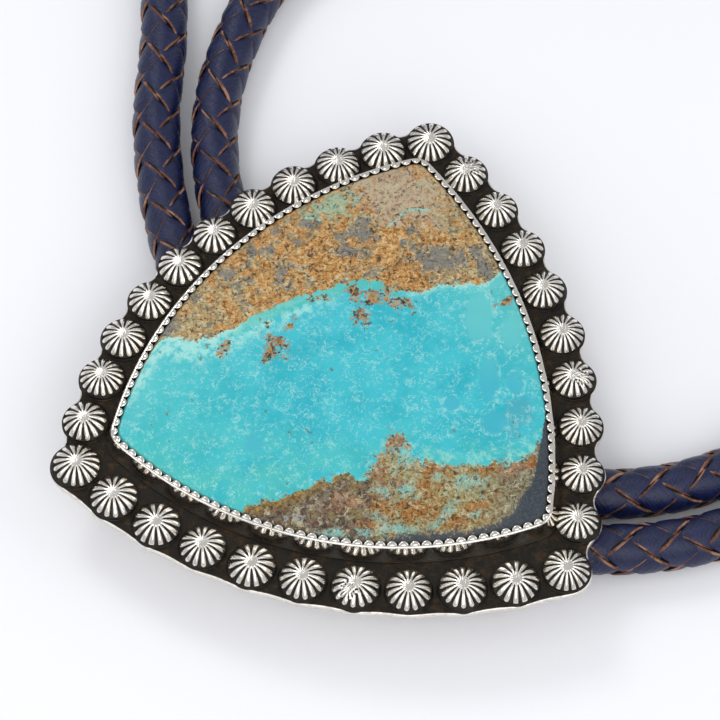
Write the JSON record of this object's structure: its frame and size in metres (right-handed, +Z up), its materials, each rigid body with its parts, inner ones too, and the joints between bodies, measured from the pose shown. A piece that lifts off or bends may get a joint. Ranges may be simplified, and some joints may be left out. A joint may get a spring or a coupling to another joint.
{
  "type": "bolo tie",
  "caption": "Bolo tie: rounded triangular turquoise cabochon in a toothed silver bezel edged with fluted studs, on a braided navy leather cord with silver tips.",
  "frame": {"origin": "middle of the slide's box, on the surface that it lies on", "axes": "+Z up out of the stone's face, +Y towards the slide's top corner and the neck loop, +X towards the free ends"},
  "size_m": [0.1184, 0.2187, 0.0132],
  "materials": {
    "silver": "polished sterling silver with blackened recesses",
    "turquoise": "polished turquoise with ochre and brown matrix",
    "clip_metal": "plain nickel silver, lightly brushed",
    "leather": "braided navy leather straps with raw tan edges"
  },
  "bodies": {
    "root": {"silver_setting": "silver", "stone": "turquoise", "cord_clip": "clip_metal", "cord": "leather", "tip_1": "silver", "tip_2": "silver"}
  },
  "joints": []
}
